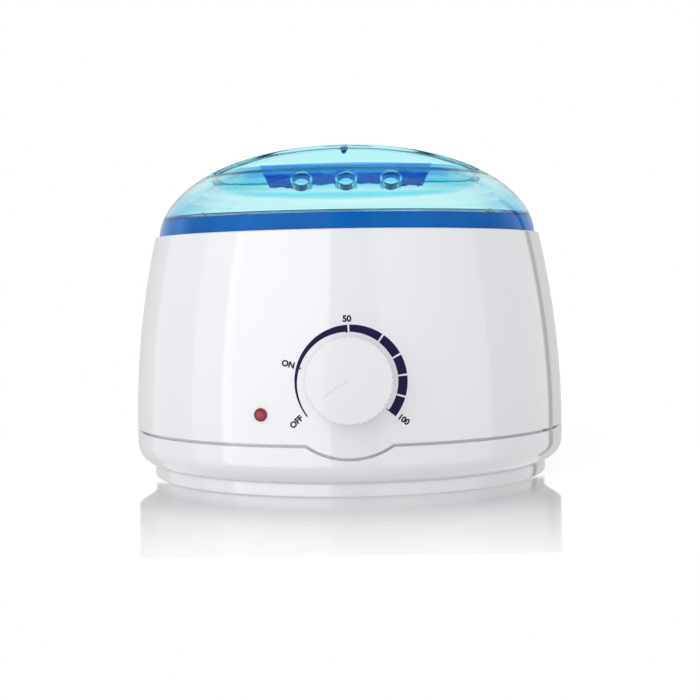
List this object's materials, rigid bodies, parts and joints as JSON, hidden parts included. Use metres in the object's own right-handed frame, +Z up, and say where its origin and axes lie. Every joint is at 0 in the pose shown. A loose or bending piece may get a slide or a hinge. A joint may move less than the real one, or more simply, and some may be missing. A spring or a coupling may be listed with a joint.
{
  "type": "wax warmer",
  "caption": "Round tabletop wax warmer: clear domed lid, lift-out pot with bail, heated well, thermostat dial and pilot lamp.",
  "frame": {"origin": "on the table under the body's vertical axis, at the middle of the rubber foot ring", "axes": "+Z up, -Y out of the front where the dial is, +X to the right as seen from the front"},
  "size_m": [0.181, 0.1972, 0.139],
  "materials": {
    "clear_blue": "clear blue polycarbonate, polished",
    "white_shell": "high-gloss white ABS",
    "white_knob": "satin-gloss white ABS",
    "grey_rubber": "moulded rubber",
    "grey_plastic": "moulded plastic",
    "steel": "zinc-plated steel",
    "aluminium": "spun aluminium",
    "chrome_wire": "bright plated wire",
    "brass": "plain brass",
    "red_silicone": "silicone sheet",
    "mica_steel": "steel-clad mica",
    "glass_fibre": "needled glass fibre",
    "ceramic": "steatite ceramic",
    "red_lens": "clear red plastic",
    "lamp_glass": "clear glass",
    "brown_lead": "silicone insulation",
    "white_lead": "braided glass-fibre sleeve",
    "grey_lead": "silicone insulation",
    "red_lead": "PVC insulation"
  },
  "bodies": {
    "base": {"housing_front": "white_shell", "housing_back": "white_shell", "deck_ring": "white_shell", "base_shell": "white_shell", "foot_ring": "grey_rubber", "base_screws": "steel", "heating_well": "aluminium", "well_gasket": "red_silicone", "well_screws": "steel", "heater_band": "mica_steel", "heater_clamp_screw": "steel", "heater_clamp_nut": "steel", "insulation_wrap": "glass_fibre", "thermal_fuse": "steel", "fuse_strap": "steel", "fuse_screw": "steel", "thermostat_body": "ceramic", "thermostat_terminals": "brass", "thermostat_nut": "brass", "indicator_lens": "red_lens", "neon_lamp": "lamp_glass", "lamp_holder": "grey_plastic", "terminal_block": "ceramic", "terminal_screws": "brass", "block_screws": "steel", "cord_gland": "grey_rubber", "supply_lead": "brown_lead", "heater_leads": "white_lead", "fuse_lead": "grey_lead", "lamp_leads": "red_lead"},
    "dial": {"knob": "white_knob", "knob_clip": "steel", "thermostat_shaft": "steel"},
    "pot": {"inner_pot": "aluminium", "pot_ears": "steel", "ear_rivets": "aluminium"},
    "bail": {"bail": "chrome_wire"},
    "lid": {"lid": "clear_blue"}
  },
  "joints": [
    {"name": "knob_turn", "type": "hinge", "parent": "base", "child": "dial", "pos_m": [0, -0.0897, 0.044], "axis": [0, 0.9978, -0.0667], "range_deg": [0, 254]},
    {"name": "pot_lift", "type": "slide", "parent": "base", "child": "pot", "axis": [0, 0, 1], "range_m": [0, 0.09]},
    {"name": "lid_lift", "type": "slide", "parent": "pot", "child": "lid", "axis": [0, 0, 1], "range_m": [0, 0.12]},
    {"name": "bail_swing", "type": "hinge", "parent": "pot", "child": "bail", "pos_m": [0, 0, 0.10215], "axis": [1, 0, 0], "range_deg": [0, 90]}
  ],
  "couplings": [
    {"joint": "bail_swing", "follows": "lid_lift", "rad_per_m": 13.08}
  ]
}
